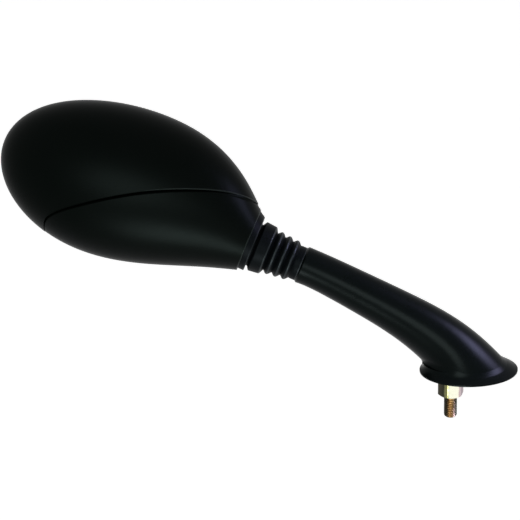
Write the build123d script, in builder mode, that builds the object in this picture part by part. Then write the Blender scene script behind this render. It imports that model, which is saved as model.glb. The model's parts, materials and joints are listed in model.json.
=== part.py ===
from build123d import *
import os
from math import cos, pi, radians, sin, sqrt, tan

# Motorcycle mirror: an egg-shaped head on a ball joint, a bellows boot, a covered arm and an M8 stud.
# The origin is on the stud's axis where the hexagon shoulder seats, and +Z runs up along the stud.
# The head reaches out to -X. Its closed back faces -Y and a little up, and its glass faces +Y.
# All sizes are in millimetres and degrees.

# Layout
lean = 24.0  # tilt of the mirror's face plane from upright
skirt_height = 15.6  # stud seat to the foot plane of the arm
collar_reach = 115.6  # stud axis to the head's collar, along X
collar_rise = 79.0  # foot plane to the head's collar, up the face plane
neck_dip = 24.25  # slope of the neck's axis, falling from the head to the arm

# Mounting stud and lock washer
stud_radius = 4.0
stud_length = 15.0
stud_chamfer = 1.0
hex_flats = 14.0
hex_turn = 10.0
hex_height = 19.6
hex_chamfer = 0.7
hex_chamfer_angle = 30.0
root_length = 13.0  # upper thread, screwed into the core
root_clearance = 0.05
root_gap = 1.0  # between the stud's upper end and the bottom of its hole
washer_thickness = 2.0
washer_width = 2.8
washer_slit = 1.2
washer_slit_angle = 20.0
washer_clearance = 0.2

# Head form
head_length = 162.4  # blunt tip to the collar plane
widest_station = 74.0  # blunt tip to the widest section
head_half_width = 46.85
panel_depth = 34.0  # crown of the raised upper panel in front of the neck's axis
panel_step = 1.9  # how far the lower flank lies below the panel
panel_edge = 0.2  # what is left of that step at the outline
rear_depth = 60.0  # rear bulge before the rim plane cuts it
rim_depth = 20.0  # rim plane behind the neck's axis
seam_depth = 1.3  # groove under the panel's edge, below the flank
seam_edge = 0.6  # inset of the groove's floor at the outline
seam_shift = (0.9, -1.7)  # from the panel's edge to the flank's, along and across the neck's axis
mouth_radius = 19.5
mouth_shift = 1.0  # head's middle line above the neck's axis, at the tip
mouth_drop = 1.2  # what the middle line loses of that at the mouth
mouth_drop_power = 9
head_bow = 6.7  # upward bow of the middle line between tip and mouth
bow_skew = 2.4  # shifts the bow's peak towards the neck
shell_wall = 2.5
end_wall = 3.2
tip_angles = (15, 30, 45, 60, 75, 90)  # stations of the rounded tip, up to the widest section
flank_shares = (0.25, 0.5, 0.7, 0.85, 1.0)  # stations from the widest section to the mouth

# Style line, from the lower outline over the face to the neck, along and across the neck's axis
style_line = [
    (-117.6, -52.0),
    (-119.9, -38.0),
    (-120.2, -33.6),
    (-117.2, -28.4),
    (-108.1, -20.4),
    (-83.2, -3.0),
    (-42.5, 17.3),
    (-17.9, 23.7),
    (6.0, 19.8),
]
zone_reach = 90.0  # how far the lower zone is drawn beyond the head

# Ball joint
ball_radius = 8.0
ball_offset = 1.0  # ball centre beyond the collar plane
seat_thickness = 1.55
seat_clearance = 0.05
front_seat_span = (8.0, 38.0)  # elevations from the ball's equator
rear_seat_span = (-48.0, -16.0)
socket_lip_angle = 40.0
socket_clearance = 0.1
socket_flare = 1.7
shank_radius = 4.2
pin_shoulder_radius = 6.4
pin_shoulder_length = 2.0
pin_root_radius = 4.0
pin_root_length = 17.0
pin_root_clearance = 0.05
pin_chamfer = 0.5

# Socket of the shell and what closes it
lip_gap = 0.2  # head's mouth to the boot
lip_thickness = 4.1
spigot_radius = 11.5
spigot_length = 8.6  # beyond the collar plane
socket_depth = 15.0  # collar plane to the socket's open end, inside the head
socket_outer_radius = 12.0
cup_front = 2.5  # collar plane to the pressure cup's rim
cup_back = 9.0
cup_bore_radius = 5.6
cup_clearance = 0.15
spring_wire = 1.5
spring_mean_radius = 6.5
spring_turns = 2.0
cap_thickness = 2.5
cap_ear_radius = 3.8
cap_pilot_length = 3.0
cap_pilot_clearance = 0.5
cap_screw_offset = 13.4
cap_screw_count = 2
cap_boss_radius = 3.3
cap_screw_radius = 1.75
cap_screw_depth = 9.0
cap_screw_flats = 5.5
cap_screw_head_height = 2.6
cap_washer_radius = 3.7
cap_washer_thickness = 0.8
screw_clearance = 0.25
thread_clearance = 0.05

# Glass, pad, carrier and gasket
glass_curve_radius = 1200.0
glass_apex = 19.5  # outer face of the glass behind the neck's axis
glass_centre = (-84.0, 4.5)
glass_thickness = 2.0
pad_thickness = 0.8
carrier_thickness = 1.6
stack_clearance = 0.05
glass_margin = 1.6  # gap between shell wall and glass edge, filled by the gasket
pad_margin = 4.0
gasket_clearance = 0.1
gasket_cover = 1.8  # how far the gasket laps over the glass
gasket_lip = 0.7  # over the glass
post_level = 12.4  # end of the carrier posts behind the neck's axis
post_radius = 4.0
post_places = [(-122.0, 4.0), (-60.0, 4.0)]
carrier_screw_radius = 1.75
carrier_screw_length = 11.0
carrier_head_radius = 3.4
carrier_slot_width = 0.9
carrier_slot_depth = 1.0

# Boot, with radii along the neck's axis from the collar plane
boot_wall = 1.6
boot_lip_radius = 18.3  # at the head's mouth
boot_lip_rise = 1.75  # off the neck's axis, as the head's middle line is
boot_lip_end = -0.2
boot_lip_end_radius = 17.15
boot_lip_end_rise = 0.45
lip_groove_radius = 13.2
lip_groove_place = 0.6
band_start = 2.1
band_end = 8.9
band_radius = 15.7
band_end_radius = 15.0
rib_count = 3
rib_start = 10.6
rib_pitch = 5.23
rib_crest = 1.4
first_groove_radius = 11.8
last_groove_radius = 10.3
first_rib_height = 2.0
last_rib_height = 1.9
boot_ring_length = 3.0
boot_ring_radius = 10.5
boot_clearance = 0.1

# Arm
arm_start = 30.3  # collar plane to the end of the arm's cover
arm_start_half = 11.5
arm_start_chamfer = 1.0
arm_end_half = 16.6
arm_end_depth = 16.5
arm_flare_power = 2.1
arm_shares = (0, 0.3, 0.55, 0.8, 1.0)  # stations along the arm's spine
arm_bend_point = (-42.0, 42.5)
arm_end_point = (-4.4, 17.2)
arm_end_dip = 41.0
foot_centre = 10.8
foot_half_length = 26.0
foot_half_depth = 18.2
hollow_drop = 1.5  # how far the cover's hollow is drawn below the foot plane
skirt_rim = 0.9
skirt_levels = [  # level ovals of the skirt's flare: height, middle along X and Y, half length, half depth
    (0.9, 10.6, 0.0, 29.4, 22.2),
    (2.6, 9.8, 0.8, 26.9, 19.7),
    (5.5, 7.2, 1.8, 24.3, 17.2),
]
cover_wall = 2.4
cover_clearance = 0.15
core_nose_length = 4.8

# Derived frames
front = Vector(0, -cos(radians(lean)), sin(radians(lean)))
face = Plane(origin=(0, 0, skirt_height), x_dir=(1, 0, 0), z_dir=front)
neck_dir = face.x_dir * cos(radians(neck_dip)) - face.y_dir * sin(radians(neck_dip))
neck_up = face.x_dir * sin(radians(neck_dip)) + face.y_dir * cos(radians(neck_dip))
collar = face.from_local_coords(Vector(-collar_reach, collar_rise, 0))
neck_axis = Axis(collar, neck_dir)
head_face = Plane(origin=collar, x_dir=neck_dir, z_dir=front)
neck_profile = Plane(origin=collar, x_dir=neck_up, z_dir=neck_up.cross(neck_dir))
cap_plane = Plane(origin=collar - neck_dir * socket_depth, x_dir=neck_up, z_dir=neck_dir * -1)
body_length = head_length - lip_thickness
nose_end = arm_start - core_nose_length

# Derived radii of the ball joint, from the ball outwards
seat_inner = ball_radius + seat_clearance
seat_outer = seat_inner + seat_thickness
socket_radius = seat_outer + socket_clearance
cup_radius = socket_radius - cup_clearance
nose_radius = arm_start_half - cover_wall - cover_clearance

os.makedirs("parts", exist_ok=True)


def neck_plane(along):
    return Plane(origin=collar + neck_dir * along, x_dir=neck_up, z_dir=neck_dir)


def head_origin(along):
    share = along / head_length
    shift = mouth_shift + head_bow * sin(pi * share**bow_skew) - mouth_drop * share**mouth_drop_power
    return collar + neck_dir * (along - head_length) + neck_up * shift


def head_section(along, half_width, front_depth, back_depth):
    with BuildSketch(Plane(origin=head_origin(along), x_dir=neck_up, z_dir=neck_dir)) as section:
        with BuildLine():
            EllipticalCenterArc((0, 0), half_width, front_depth, 0, arc_size=180)
            EllipticalCenterArc((0, 0), half_width, back_depth, 180, arc_size=180)
        make_face()
    return section.sketch


def head_sections(inset, crown, end):
    # An ellipse law rounds the blunt tip, and a parabola draws the flanks in towards the neck
    tip = head_origin(inset)
    sections = [Vertex(tip.X, tip.Y, tip.Z)]
    for angle in tip_angles:
        growth = sin(radians(angle))
        along = widest_station - (widest_station - inset) * cos(radians(angle))
        sections.append(
            head_section(
                along,
                (head_half_width - inset) * growth,
                (crown - inset) * growth,
                (rear_depth - inset) * growth,
            )
        )
    for share in flank_shares:
        along = widest_station + (end - widest_station) * share
        drop = ((along - widest_station) / (body_length - widest_station)) ** 2
        ease = 3 * drop - 2 * drop**1.5
        sections.append(
            head_section(
                along,
                head_half_width - inset - (head_half_width - mouth_radius) * drop,
                crown - inset - (crown - mouth_radius) * drop,
                rear_depth - inset - (rear_depth - mouth_radius) * ease,
            )
        )
    return sections


def dish_level(depth, place):
    # Height of a dished face that lies this deep under the glass's outer face, at a place on the head
    spread = (place[0] - glass_centre[0]) ** 2 + (place[1] - glass_centre[1]) ** 2
    return glass_curve_radius - glass_apex - sqrt((glass_curve_radius - depth) ** 2 - spread)


def dished_plate(inset, depth, thickness):
    # Plate with the head's outline, drawn in by the inset and dished to the curve of the glass
    sections = head_sections(inset, flank_depth, cavity_end)
    with BuildPart() as plate:
        loft(sections)
        with Locations(dish_centre):
            Sphere(glass_curve_radius - depth, mode=Mode.INTERSECT)
            Sphere(glass_curve_radius - depth - thickness, mode=Mode.SUBTRACT)
    return plate.part


def ball_seat(span):
    # Ring between the ball and its cup, from one elevation over the ball's equator to another
    start, end = span
    with BuildPart() as seat:
        with BuildSketch(neck_profile):
            with BuildLine():
                inside = CenterArc((0, ball_offset), seat_inner, start, end - start)
                outside = CenterArc((0, ball_offset), seat_outer, start, end - start)
                Line(inside @ 0, outside @ 0)
                Line(inside @ 1, outside @ 1)
            make_face()
        revolve(axis=neck_axis)
    return seat.part


def groove_point(groove):
    radius = first_groove_radius + (last_groove_radius - first_groove_radius) * groove / rib_count
    return (radius, rib_start + groove * rib_pitch)


def crest_point(rib, offset):
    # Point on the crest halfway between two grooves
    height = first_rib_height + (last_rib_height - first_rib_height) * rib / rib_count
    middle = (groove_point(rib)[0] + groove_point(rib + 1)[0]) / 2
    return (middle + height, rib_start + (rib + 0.5) * rib_pitch + offset)


def arm_sections(inset, foot_drop):
    # Oval outlines along the arm's spine, ending in the level outline of the foot
    sections = []
    for share in arm_shares:
        growth = share**arm_flare_power
        heading = spine.line % share
        station = Plane(origin=spine.line @ share, x_dir=front.cross(heading), z_dir=heading)
        with BuildSketch(station) as section:
            Ellipse(
                arm_start_half + (arm_end_half - arm_start_half) * growth - inset,
                arm_start_half + (arm_end_depth - arm_start_half) * growth - inset,
            )
        sections.append(section.sketch)
    foot = Plane(origin=(foot_centre, 0, skirt_height - foot_drop), x_dir=(1, 0, 0), z_dir=(0, 0, -1))
    with BuildSketch(foot) as section:
        Ellipse(foot_half_length - inset, foot_half_depth - inset)
    sections.append(section.sketch)
    return sections


# Depths of the glass stack under the outer face of the glass
pad_top = glass_thickness + stack_clearance
carrier_top = pad_top + pad_thickness + stack_clearance
carrier_back = carrier_top + carrier_thickness
dish_centre = head_face.from_local_coords(Vector(*glass_centre, glass_curve_radius - glass_apex))

# Insets of the glass stack from the head's outside
gasket_inset = shell_wall + panel_edge + gasket_clearance
glass_inset = gasket_inset + glass_margin
gasket_inner_inset = glass_inset + gasket_cover

flank_depth = panel_depth - panel_step
cavity_end = body_length - end_wall

panel_sections = head_sections(0, panel_depth, body_length)
flank_sections = head_sections(panel_edge, flank_depth, body_length)
seam_sections = head_sections(seam_edge, flank_depth - seam_depth, body_length)
cavity_sections = head_sections(shell_wall + panel_edge, flank_depth, cavity_end)
post_sections = head_sections(shell_wall / 2 + panel_edge, flank_depth, cavity_end)

# Zone of the face below the style line, and the part of it beyond the seam
zone_plane = head_face.offset(-zone_reach)
with BuildSketch(zone_plane) as lower_zone:
    with BuildLine():
        Spline(*style_line)
        Polyline(
            style_line[-1],
            (zone_reach, style_line[-1][1]),
            (zone_reach, -zone_reach),
            (style_line[0][0], -zone_reach),
            style_line[0],
        )
    make_face()

seam_step = zone_plane.x_dir * seam_shift[0] + zone_plane.y_dir * seam_shift[1]
flank_zone = lower_zone.sketch.moved(Location(seam_step))

# Raised upper panel, down to the style line
with BuildPart() as panel:
    loft(panel_sections)
    extrude(lower_zone.sketch, amount=2 * zone_reach, mode=Mode.SUBTRACT)

# Floor of the seam under the panel's edge
with BuildPart() as seam_floor:
    loft(seam_sections)
    extrude(lower_zone.sketch, amount=2 * zone_reach, mode=Mode.INTERSECT)

# Posts for the glass carrier, rooted in the shell's wall
with BuildPart() as posts:
    with BuildSketch(head_face.offset(-post_level)):
        with Locations(*post_places):
            Circle(post_radius)
    extrude(amount=zone_reach)
    loft(post_sections, mode=Mode.INTERSECT)

# Head shell
with BuildPart() as head_shell:
    loft(flank_sections)
    extrude(flank_zone, amount=2 * zone_reach, mode=Mode.INTERSECT)
    add(seam_floor.part)
    add(panel.part)
    loft(cavity_sections, mode=Mode.SUBTRACT)
    split(bisect_by=head_face.offset(-rim_depth), keep=Keep.TOP)
    add(posts.part)
    with BuildSketch(cap_plane):
        Circle(socket_outer_radius)
        with PolarLocations(cap_screw_offset, cap_screw_count):
            Circle(cap_boss_radius)
    extrude(amount=-(socket_depth - lip_thickness - end_wall / 2))
    with BuildSketch(neck_plane(-lip_thickness - end_wall / 2)):
        Circle(spigot_radius)
    extrude(amount=spigot_length + lip_thickness + end_wall / 2)
    with BuildSketch(neck_profile):
        with BuildLine():
            bore = Line((socket_radius, -socket_depth), (socket_radius, ball_offset))
            cup = CenterArc((0, ball_offset), socket_radius, 0, socket_lip_angle)
            Polyline(
                cup @ 1,
                ((cup @ 1).X + socket_flare, spigot_length),
                (0, spigot_length),
                (0, -socket_depth),
                bore @ 0,
            )
        make_face()
    revolve(axis=neck_axis, mode=Mode.SUBTRACT)
    with Locations(cap_plane):
        with PolarLocations(cap_screw_offset, cap_screw_count):
            Hole(cap_screw_radius + thread_clearance, depth=cap_screw_depth + screw_clearance)
    with BuildSketch(head_face.offset(-post_level)):
        with Locations(*post_places):
            Circle(carrier_screw_radius + thread_clearance)
    extrude(amount=carrier_screw_length, mode=Mode.SUBTRACT)
head_shell.part.label = "head_shell"
export_step(head_shell.part, "parts/head_shell.step")

# Mirror glass, convex towards the rider
with BuildPart() as mirror_glass:
    add(dished_plate(glass_inset, 0, glass_thickness))
mirror_glass.part.label = "mirror_glass"
export_step(mirror_glass.part, "parts/mirror_glass.step")

# Foam pad behind the glass
with BuildPart() as glass_pad:
    add(dished_plate(glass_inset + pad_margin, pad_top, pad_thickness))
glass_pad.part.label = "glass_pad"
export_step(glass_pad.part, "parts/glass_pad.step")

# Dished carrier with screw pads
with BuildPart() as glass_carrier:
    add(dished_plate(glass_inset, carrier_top, carrier_thickness))
    for place in post_places:
        rise = -post_level - dish_level(carrier_back, place)
        with BuildSketch(head_face.offset(-post_level)):
            with Locations(place):
                Circle(post_radius)
        extrude(amount=-(rise + carrier_thickness / 2))
    for place in post_places:
        seat = head_face.from_local_coords(Vector(*place, dish_level(carrier_top, place)))
        with Locations(Plane(seat, z_dir=front * -1)):
            CounterSinkHole(
                carrier_screw_radius + screw_clearance, carrier_head_radius + screw_clearance
            )
glass_carrier.part.label = "glass_carrier"
export_step(glass_carrier.part, "parts/glass_carrier.step")

# Countersunk screws that hold the carrier to the posts
with BuildPart() as carrier_screws:
    for place in post_places:
        seat = head_face.from_local_coords(Vector(*place, dish_level(carrier_top, place)))
        head_top = Plane(seat + front * stack_clearance, z_dir=front)
        with BuildSketch(head_top):
            Circle(carrier_head_radius)
        with BuildSketch(head_top.offset(carrier_head_radius - carrier_screw_radius)):
            Circle(carrier_screw_radius)
        loft()
        with BuildSketch(head_top):
            Circle(carrier_screw_radius)
        extrude(amount=carrier_screw_length)
        with BuildSketch(head_top):
            Rectangle(2 * carrier_head_radius, carrier_slot_width)
        extrude(amount=carrier_slot_depth, mode=Mode.SUBTRACT)
carrier_screws.part.label = "carrier_screws"
export_step(carrier_screws.part, "parts/carrier_screws.step")

# Rubber gasket beside the edges of the glass and the carrier, with a lip over the glass
gasket_window = dished_plate(gasket_inner_inset, -2 * gasket_lip, carrier_back + 2 * gasket_lip)
edge_rebate = dished_plate(glass_inset - gasket_clearance, -stack_clearance, 2 * carrier_back)
with BuildPart() as glass_gasket:
    add(dished_plate(gasket_inset, -gasket_lip, carrier_back + gasket_lip))
    add(gasket_window, mode=Mode.SUBTRACT)
    add(edge_rebate, mode=Mode.SUBTRACT)
glass_gasket.part.label = "glass_gasket"
export_step(glass_gasket.part, "parts/glass_gasket.step")

# Ball on its shouldered pin
with BuildPart() as ball_pin:
    with BuildSketch(neck_profile):
        with BuildLine():
            shank_start = ball_offset + sqrt(ball_radius**2 - shank_radius**2)
            ThreePointArc(
                (0, ball_offset - ball_radius),
                (ball_radius, ball_offset),
                (shank_radius, shank_start),
            )
            Polyline(
                (shank_radius, shank_start),
                (shank_radius, nose_end - pin_shoulder_length),
                (pin_shoulder_radius, nose_end - pin_shoulder_length),
                (pin_shoulder_radius, nose_end),
                (pin_root_radius, nose_end),
                (pin_root_radius, nose_end + pin_root_length),
                (0, nose_end + pin_root_length),
                (0, ball_offset - ball_radius),
            )
        make_face()
    revolve(axis=neck_axis)
    chamfer(ball_pin.edges().filter_by(GeomType.CIRCLE).group_by(SortBy.DISTANCE)[0], pin_chamfer)
ball_pin.part.label = "ball_pin"
export_step(ball_pin.part, "parts/ball_pin.step")

# Nylon rings on both sides of the ball
with BuildPart() as front_ball_seat:
    add(ball_seat(front_seat_span))
front_ball_seat.part.label = "front_ball_seat"
export_step(front_ball_seat.part, "parts/front_ball_seat.step")

with BuildPart() as rear_ball_seat:
    add(ball_seat(rear_seat_span))
rear_ball_seat.part.label = "rear_ball_seat"
export_step(rear_ball_seat.part, "parts/rear_ball_seat.step")

# Cup that presses the rear seat on the ball
with BuildPart() as pressure_cup:
    with BuildSketch(neck_profile):
        hollow = seat_outer + stack_clearance
        rim_inner = sqrt(hollow**2 - (ball_offset + cup_front) ** 2)
        bore_start = ball_offset - sqrt(hollow**2 - cup_bore_radius**2)
        with BuildLine():
            RadiusArc((cup_bore_radius, bore_start), (rim_inner, -cup_front), -hollow)
            Polyline(
                (rim_inner, -cup_front),
                (cup_radius, -cup_front),
                (cup_radius, -cup_back),
                (cup_bore_radius, -cup_back),
                (cup_bore_radius, bore_start),
            )
        make_face()
    revolve(axis=neck_axis)
pressure_cup.part.label = "pressure_cup"
export_step(pressure_cup.part, "parts/pressure_cup.step")

# Coil spring of square wire between the cup and the cap
spring_room = socket_depth - cup_back
with BuildPart() as cup_spring:
    with BuildLine() as coil:
        Helix(
            pitch=(spring_room - spring_wire) / spring_turns,
            height=spring_room - spring_wire,
            radius=spring_mean_radius,
            center=collar - neck_dir * (socket_depth - spring_wire / 2),
            direction=neck_dir,
        )
    with BuildSketch(Plane(origin=coil.line @ 0, x_dir=neck_dir, z_dir=coil.line % 0)):
        Rectangle(spring_wire, spring_wire)
    sweep(is_frenet=True)
cup_spring.part.label = "cup_spring"
export_step(cup_spring.part, "parts/cup_spring.step")

# Two-eared plate that closes the socket, with a pilot inside the spring
with BuildPart() as spring_cap:
    with BuildSketch(cap_plane):
        with PolarLocations(cap_screw_offset, cap_screw_count):
            Circle(cap_ear_radius)
        Circle(socket_outer_radius)
        make_hull()
    extrude(amount=cap_thickness)
    with BuildSketch(cap_plane):
        Circle(spring_mean_radius - spring_wire / 2 - cap_pilot_clearance)
    extrude(amount=-cap_pilot_length)
    with Locations(cap_plane.offset(cap_thickness)):
        with PolarLocations(cap_screw_offset, cap_screw_count):
            Hole(cap_screw_radius + screw_clearance)
spring_cap.part.label = "spring_cap"
export_step(spring_cap.part, "parts/spring_cap.step")

# Washers and hexagon screws of the cap
washer_plane = cap_plane.offset(cap_thickness)
with BuildPart() as cap_washers:
    with BuildSketch(washer_plane):
        with PolarLocations(cap_screw_offset, cap_screw_count):
            Circle(cap_washer_radius)
            Circle(cap_screw_radius + screw_clearance, mode=Mode.SUBTRACT)
    extrude(amount=cap_washer_thickness)
cap_washers.part.label = "cap_washers"
export_step(cap_washers.part, "parts/cap_washers.step")

head_plane = washer_plane.offset(cap_washer_thickness)
with BuildPart() as cap_screws:
    with BuildSketch(head_plane):
        with PolarLocations(cap_screw_offset, cap_screw_count):
            RegularPolygon(cap_screw_flats / 2, 6, major_radius=False)
    extrude(amount=cap_screw_head_height)
    with BuildSketch(head_plane):
        with PolarLocations(cap_screw_offset, cap_screw_count):
            Circle(cap_screw_radius)
    extrude(amount=-(cap_washer_thickness + cap_thickness + cap_screw_depth))
cap_screws.part.label = "cap_screws"
export_step(cap_screws.part, "parts/cap_screws.step")

# Bellows boot: lip ring, wide band on the spigot, tapering ribs and the ring on the arm's nose
boot_start = lip_gap - lip_thickness
rib_end = rib_start + rib_count * rib_pitch
with BuildPart() as boot:
    with BuildSketch(neck_plane(boot_start)):
        with Locations((boot_lip_rise, 0)):
            Circle(boot_lip_radius)
    with BuildSketch(neck_plane(boot_lip_end)):
        with Locations((boot_lip_end_rise, 0)):
            Circle(boot_lip_end_radius)
    loft()
    with BuildSketch(neck_plane(boot_start)):
        Circle(spigot_radius + boot_clearance)
    extrude(amount=boot_lip_end - boot_start, mode=Mode.SUBTRACT)
    with BuildSketch(neck_profile):
        with BuildLine():
            Polyline(
                (lip_groove_radius, boot_start),
                (lip_groove_radius, lip_groove_place),
                (band_radius, band_start),
                (band_end_radius, band_end),
                groove_point(0),
            )
            for rib in range(rib_count):
                Polyline(
                    groove_point(rib),
                    crest_point(rib, -rib_crest / 2),
                    crest_point(rib, rib_crest / 2),
                    groove_point(rib + 1),
                )
            Polyline(
                groove_point(rib_count),
                (boot_ring_radius, arm_start - boot_ring_length),
                (boot_ring_radius, arm_start - boot_clearance),
                (nose_radius + boot_clearance, arm_start - boot_clearance),
                (nose_radius + boot_clearance, rib_end),
                (first_groove_radius - boot_wall, rib_start),
                (spigot_radius + boot_clearance, spigot_length + boot_clearance),
                (spigot_radius + boot_clearance, boot_start),
                (lip_groove_radius, boot_start),
            )
        make_face()
    revolve(axis=neck_axis)
boot.part.label = "boot"
export_step(boot.part, "parts/boot.step")

# Spine of the arm, in the face plane, leaving along the neck's axis
arm_end_dir = face.x_dir * cos(radians(arm_end_dip)) - face.y_dir * sin(radians(arm_end_dip))
with BuildLine(face) as spine:
    Spline(
        collar + neck_dir * arm_start,
        arm_bend_point,
        arm_end_point,
        tangents=(neck_dir, arm_end_dir),
    )

# Smooth cover of the arm, with a flared skirt round its hollow foot
cover_sections = arm_sections(0, 0)
hollow_sections = arm_sections(cover_wall, hollow_drop)
skirt_sections = []
for height, middle_x, middle_y, half_length, half_depth in skirt_levels:
    with BuildSketch(Plane(origin=(middle_x, middle_y, skirt_height + height))) as level:
        Ellipse(half_length, half_depth)
    skirt_sections.append(level.sketch)
with BuildPart() as arm_cover:
    loft(cover_sections)
    loft(skirt_sections)
    extrude(skirt_sections[0], amount=-skirt_rim)
    loft(hollow_sections, mode=Mode.SUBTRACT)
    chamfer(arm_cover.edges().group_by(neck_axis)[0].sort_by(SortBy.LENGTH)[-1], arm_start_chamfer)
arm_cover.part.label = "arm_cover"
export_step(arm_cover.part, "parts/arm_cover.step")

# Cast core with a nose for the boot, a flat pad for the washer and holes for pin and stud
pad_height = hex_height + washer_thickness
core_sections = arm_sections(cover_wall + cover_clearance, hollow_drop)
with BuildPart() as arm_core:
    loft(core_sections)
    split(bisect_by=Plane.XY.offset(pad_height), keep=Keep.TOP)
    with BuildSketch(neck_plane(nose_end)):
        Circle(nose_radius)
    extrude(amount=core_nose_length)
    with BuildSketch(neck_plane(nose_end)):
        Circle(pin_root_radius + pin_root_clearance)
    extrude(amount=pin_root_length + pin_chamfer, mode=Mode.SUBTRACT)
    with BuildSketch(Plane.XY.offset(pad_height)):
        Circle(stud_radius + root_clearance)
    extrude(amount=root_length, mode=Mode.SUBTRACT)
arm_core.part.label = "arm_core"
export_step(arm_core.part, "parts/arm_core.step")

# Split spring washer between the hexagon and the core
with BuildPart() as lock_washer:
    with BuildSketch(Plane.XY.offset(hex_height)):
        Circle(stud_radius + washer_clearance + washer_width)
        Circle(stud_radius + washer_clearance, mode=Mode.SUBTRACT)
        with Locations((stud_radius + washer_clearance + washer_width / 2, 0)):
            Rectangle(2 * washer_width, washer_slit, rotation=washer_slit_angle, mode=Mode.SUBTRACT)
    extrude(amount=washer_thickness)
lock_washer.part.label = "lock_washer"
export_step(lock_washer.part, "parts/lock_washer.step")

# Stud with its hexagon shoulder, chamfered at both ends of the hexagon
hex_corner = hex_flats / sqrt(3)
with BuildPart() as mounting_stud:
    with BuildSketch(Plane.XY):
        RegularPolygon(hex_flats / 2, 6, major_radius=False, rotation=hex_turn)
    extrude(amount=hex_height)
    with BuildSketch(Plane.XZ):
        with BuildLine():
            Polyline(
                (0, 0),
                (hex_corner - hex_chamfer / tan(radians(hex_chamfer_angle)), 0),
                (hex_corner, hex_chamfer),
                (hex_corner, hex_height - hex_chamfer),
                (hex_corner - hex_chamfer / tan(radians(hex_chamfer_angle)), hex_height),
                (0, hex_height),
                close=True,
            )
        make_face()
    revolve(axis=Axis.Z, mode=Mode.INTERSECT)
    with BuildSketch(Plane.XY.offset(-stud_length)):
        Circle(stud_radius)
    extrude(amount=stud_length + hex_height + washer_thickness + root_length - root_gap)
    chamfer(mounting_stud.edges().group_by(Axis.Z)[0], stud_chamfer)
mounting_stud.part.label = "mounting_stud"
export_step(mounting_stud.part, "parts/mounting_stud.step")
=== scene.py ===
import bpy
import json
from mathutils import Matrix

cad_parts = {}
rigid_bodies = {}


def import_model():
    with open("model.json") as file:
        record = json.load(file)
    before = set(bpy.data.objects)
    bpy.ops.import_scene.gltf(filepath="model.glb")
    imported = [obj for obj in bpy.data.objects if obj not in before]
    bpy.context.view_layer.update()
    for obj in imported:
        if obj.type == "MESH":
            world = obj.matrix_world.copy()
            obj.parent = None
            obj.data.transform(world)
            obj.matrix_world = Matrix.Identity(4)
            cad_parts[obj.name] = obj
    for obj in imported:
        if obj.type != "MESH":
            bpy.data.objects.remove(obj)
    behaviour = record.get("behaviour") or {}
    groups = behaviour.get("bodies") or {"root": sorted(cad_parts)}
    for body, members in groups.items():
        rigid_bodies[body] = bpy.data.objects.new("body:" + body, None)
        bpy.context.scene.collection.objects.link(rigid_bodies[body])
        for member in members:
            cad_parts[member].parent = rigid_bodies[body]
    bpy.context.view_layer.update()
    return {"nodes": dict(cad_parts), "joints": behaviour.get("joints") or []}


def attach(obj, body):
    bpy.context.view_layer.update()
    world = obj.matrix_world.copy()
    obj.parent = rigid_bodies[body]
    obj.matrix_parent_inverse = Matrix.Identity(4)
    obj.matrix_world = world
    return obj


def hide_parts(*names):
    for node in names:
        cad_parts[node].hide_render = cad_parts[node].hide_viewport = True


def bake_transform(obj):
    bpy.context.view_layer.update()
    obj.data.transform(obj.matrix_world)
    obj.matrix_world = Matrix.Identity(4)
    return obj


for stray in list(bpy.data.objects):  # the start-up cube, lamp and camera
    bpy.data.objects.remove(stray)
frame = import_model()

import json
from math import cos, pi, radians, sin, sqrt, tan

import bmesh
from mathutils import Matrix, Vector
from mathutils.bvhtree import BVHTree

# The neck's frame comes from the joints: they all pass through the ball
joints = {joint["name"]: joint for joint in frame["joints"]}
ballCentre = Vector(joints["head_twist"]["pos_m"])
neckDir = Vector(joints["head_twist"]["axis"])
neckUp = Vector(joints["head_pan"]["axis"])
faceFront = Vector(joints["head_lift"]["axis"])
ballOffset = 0.001  # ball beyond the head's collar plane
collar = ballCentre - neckDir * ballOffset
neckFrame = Matrix((neckUp, neckDir.cross(neckUp), neckDir)).transposed().to_4x4()
neckFrame.translation = collar

weldDistance = 1e-6  # points closer than this are merged
nearby = 1e-5  # how far off a place still counts as on it
white = (1.0, 1.0, 1.0, 1.0)


def addPiece(name, data):
    piece = bpy.data.objects.new(name, data)
    bpy.context.scene.collection.objects.link(piece)
    return piece


def smoothMesh(mesh, creaseAngle):
    mesh.shade_smooth()
    mesh.set_sharp_from_angle(angle=radians(creaseAngle))


def joinRings(work, rings):
    for low, high in zip(rings, rings[1:]):
        for i in range(len(low)):
            j = (i + 1) % len(low)
            work.faces.new((low[i], low[j], high[j], high[i]))


def mergedCopy(node):
    # the node's loose triangles joined up, and a tree to look for places on them
    work = bmesh.new()
    work.from_mesh(frame["nodes"][node].data)
    bmesh.ops.remove_doubles(work, verts=work.verts, dist=weldDistance)
    work.normal_update()
    return work, BVHTree.FromBMesh(work)


def wire(tree, kind, inputs, **settings):
    # a new node with its settings, and each input linked or set
    node = tree.nodes.new(kind)
    for key, value in settings.items():
        setattr(node, key, value)
    for key, value in inputs.items():
        if isinstance(value, bpy.types.NodeSocket):
            tree.links.new(value, node.inputs[key])
        else:
            node.inputs[key].default_value = value
    return node.outputs


def calc(tree, operation, first, second=0.0, third=0.0):
    return wire(tree, "ShaderNodeMath", {0: first, 1: second, 2: third}, operation=operation)[0]


def spread(tree, value, low, high):
    return wire(tree, "ShaderNodeMapRange", {"Value": value, "To Min": low, "To Max": high})["Result"]


# Materials

def startMaterial(name):
    material = bpy.data.materials.new(name)
    material.use_nodes = True
    tree = material.node_tree
    shader = tree.nodes["Principled BSDF"]
    place = wire(tree, "ShaderNodeTexCoord", {})["Object"]
    return material, tree, shader, place


def noise(tree, place, scale, detail, roughness=0.5):
    return wire(tree, "ShaderNodeTexNoise", {
        "Vector": place, "Scale": scale, "Detail": detail, "Roughness": roughness})["Fac"]


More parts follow.
